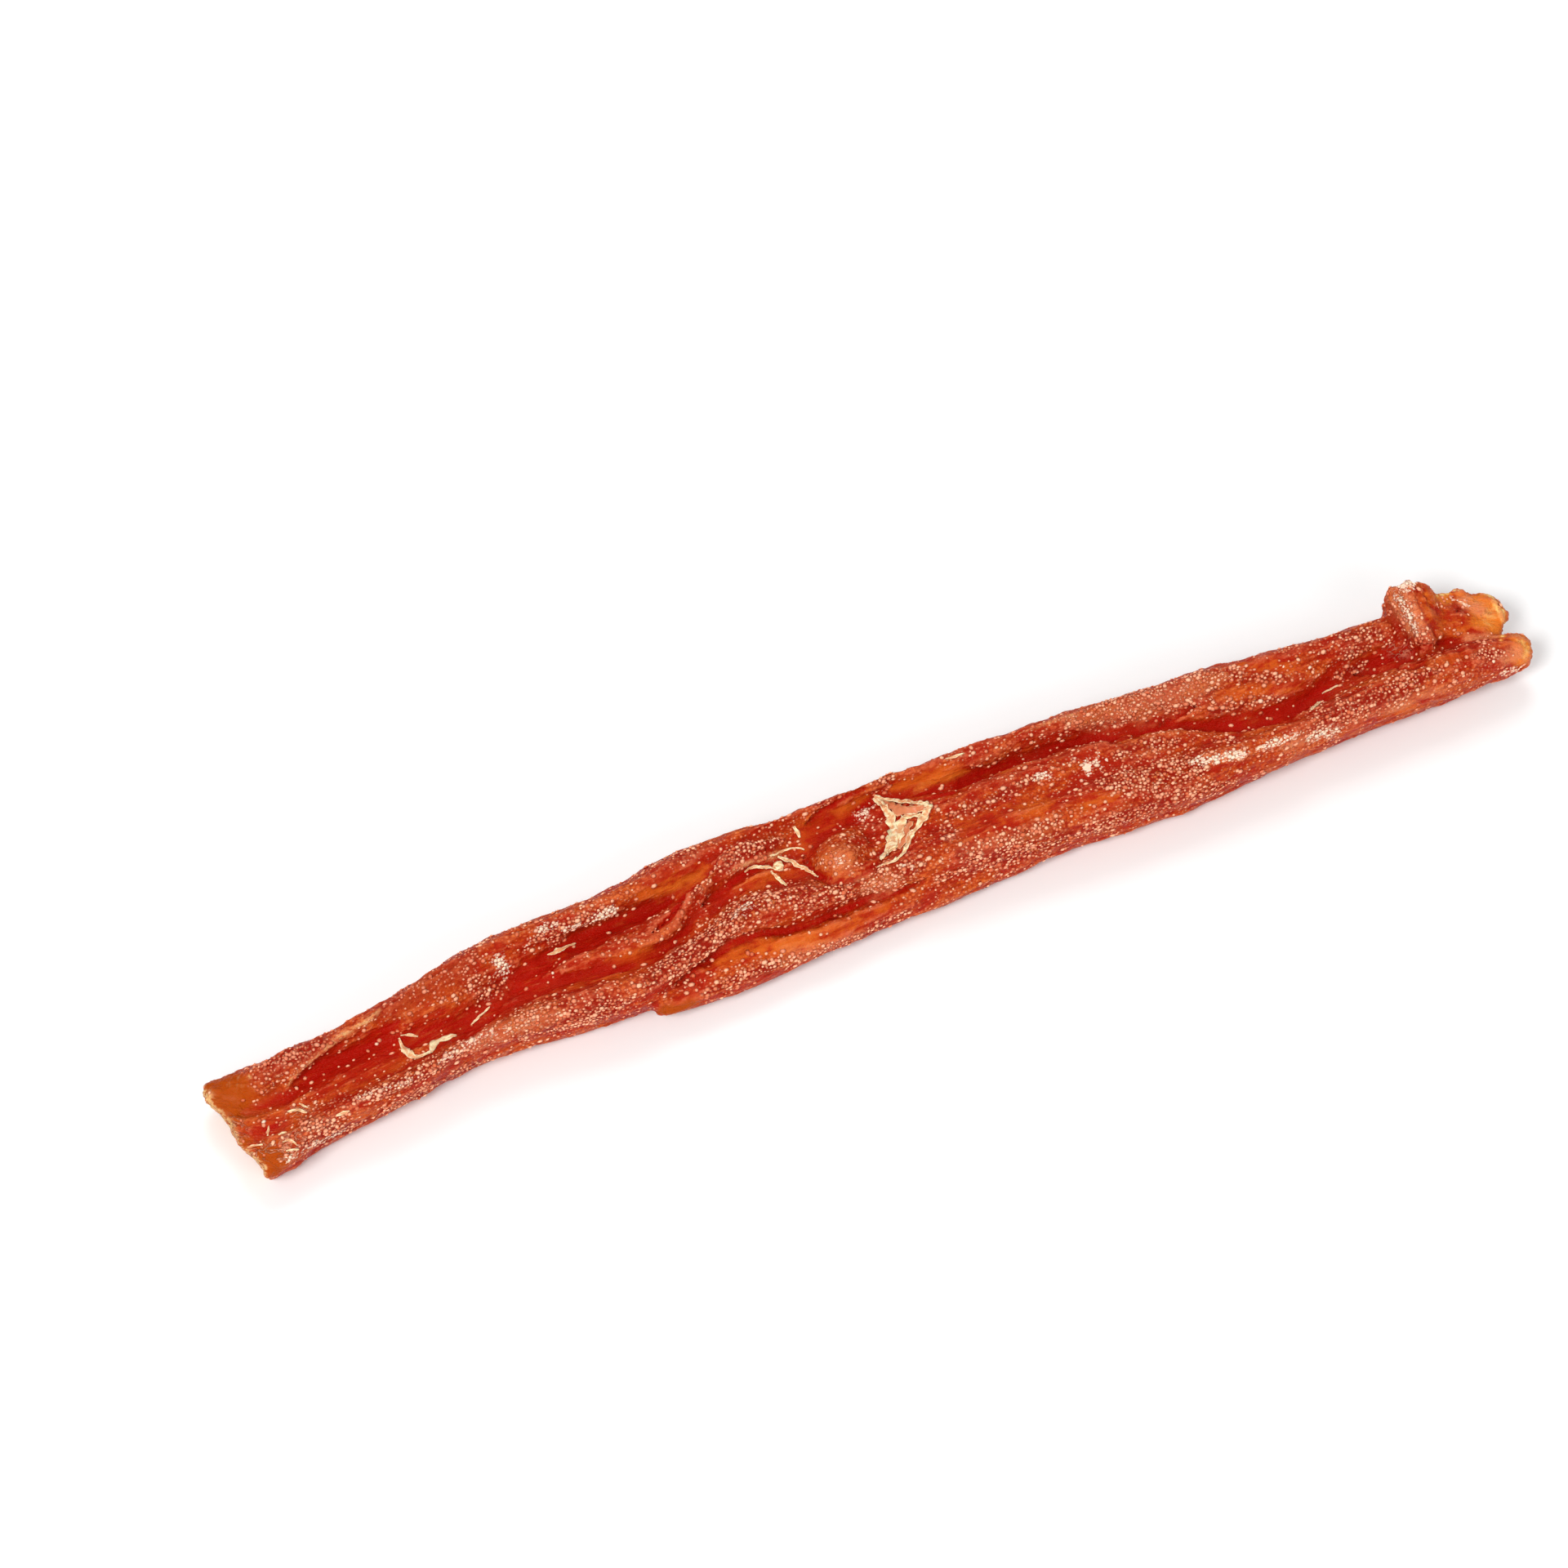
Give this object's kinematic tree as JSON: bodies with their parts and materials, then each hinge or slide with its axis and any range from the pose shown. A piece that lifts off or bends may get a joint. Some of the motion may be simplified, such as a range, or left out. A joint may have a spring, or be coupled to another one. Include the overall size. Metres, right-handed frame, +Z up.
{
  "type": "chicken meat stick",
  "caption": "Long flat strip of dried chicken breast meat with rolled-up edges, a channel between them, a cut end and a torn, lobed end.",
  "frame": {"origin": "on the floor, in the middle of the stick's footprint", "axes": "+X along the stick from its cut end to its torn, lobed end, +Y to the side of the higher back rim, +Z up"},
  "size_m": [0.1326, 0.0158, 0.0089],
  "materials": {
    "dried_meat": "dried amber-red meat, slightly glossy, with a pale dusty stipple"
  },
  "bodies": {
    "root": {"meat_stick": "dried_meat"}
  },
  "joints": []
}
